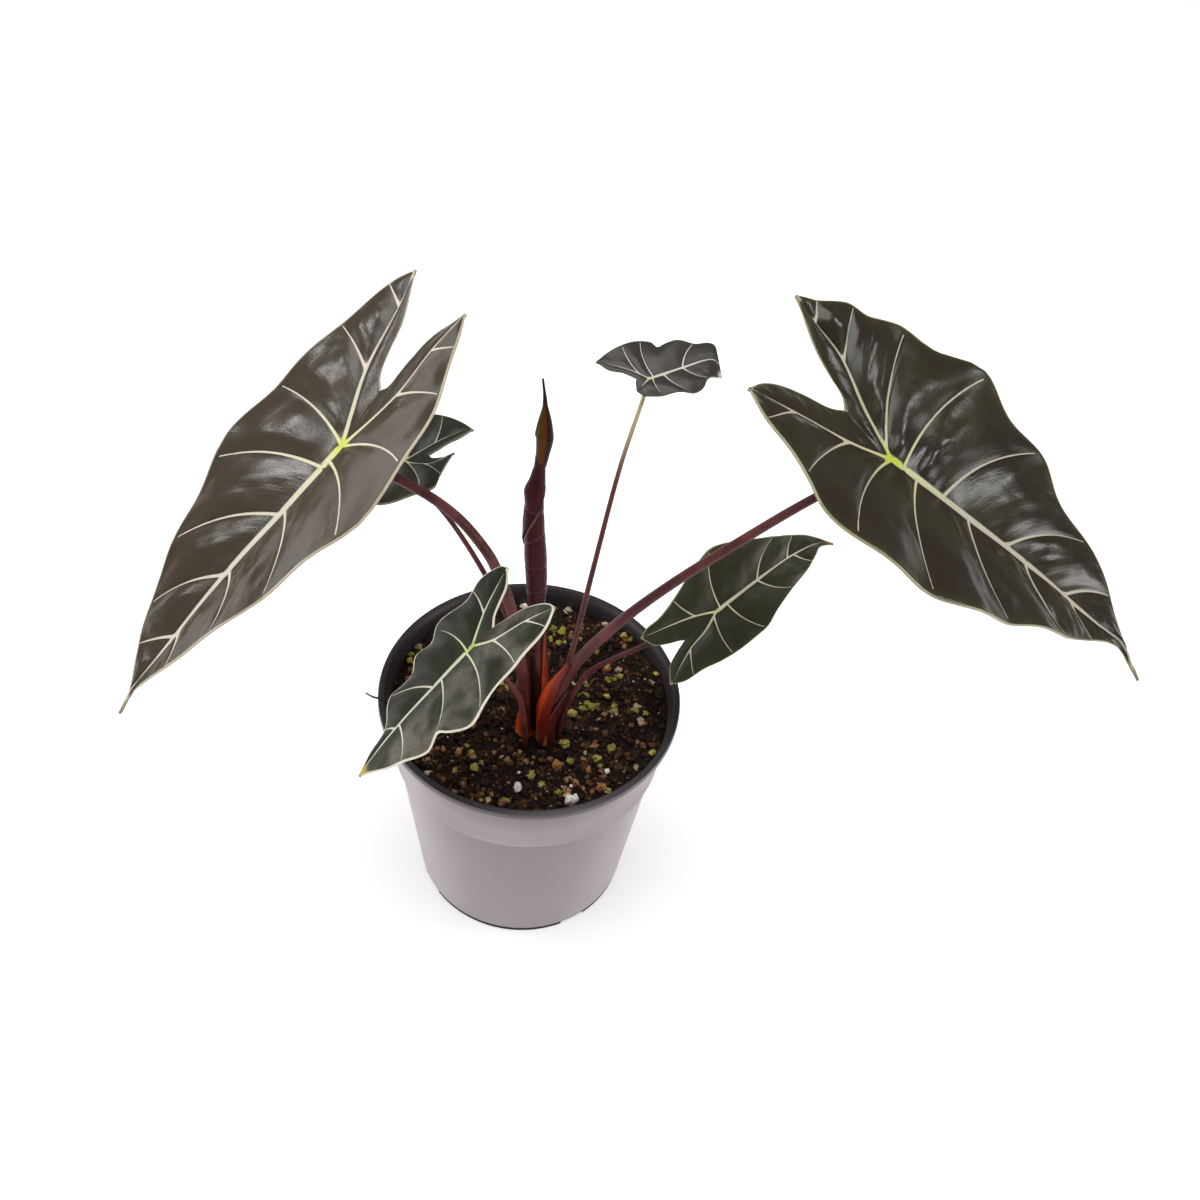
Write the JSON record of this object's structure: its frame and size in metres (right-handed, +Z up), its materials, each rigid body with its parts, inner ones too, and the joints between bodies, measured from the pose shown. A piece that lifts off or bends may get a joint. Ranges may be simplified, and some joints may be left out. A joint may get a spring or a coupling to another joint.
{
  "type": "potted aroid plant",
  "caption": "Young aroid with narrow arrow-shaped leaves, dark with pale veins, and one rolled new leaf, in a round nursery pot of soil.",
  "frame": {"origin": "centre of the pot's flat base, on the surface that it stands on", "axes": "+Z up, +X to the right as seen from the front, along the spread of the two large leaves; the front faces -Y"},
  "size_m": [0.3316, 0.152, 0.2874],
  "materials": {
    "pot_plastic": "satin moulded grey plastic with a faint mauve tint, darker inside",
    "potting_soil": "loose dark brown potting mix with pale and yellow-green granules",
    "rhizome_bark": "rough brown bark",
    "petiole_maroon": "smooth maroon stalk, satin",
    "large_blade": "glossy dark brown-green leaf with pale cream veins and margin, maroon underside",
    "small_blade": "satin dark grey-green leaf with whitish veins and margin, maroon underside",
    "furled_leaf": "satin maroon rolled leaf with fine rings and an olive opening near the tip",
    "sheath": "glossy papery orange-red sheath"
  },
  "bodies": {
    "root": {"pot": "pot_plastic", "soil": "potting_soil", "rhizome": "rhizome_bark", "petiole_left_large": "petiole_maroon", "petiole_right_large": "petiole_maroon", "petiole_back_centre_small": "petiole_maroon", "petiole_back_left_small": "petiole_maroon", "petiole_front_left_small": "petiole_maroon", "petiole_right_small": "petiole_maroon", "petiole_furled": "petiole_maroon", "blade_left_large": "large_blade", "blade_right_large": "large_blade", "blade_back_centre_small": "small_blade", "blade_back_left_small": "small_blade", "blade_front_left_small": "small_blade", "blade_right_small": "small_blade", "furled_leaf": "furled_leaf", "sheath_right_large": "sheath", "sheath_furled": "sheath", "sheath_left_large": "sheath"}
  },
  "joints": []
}
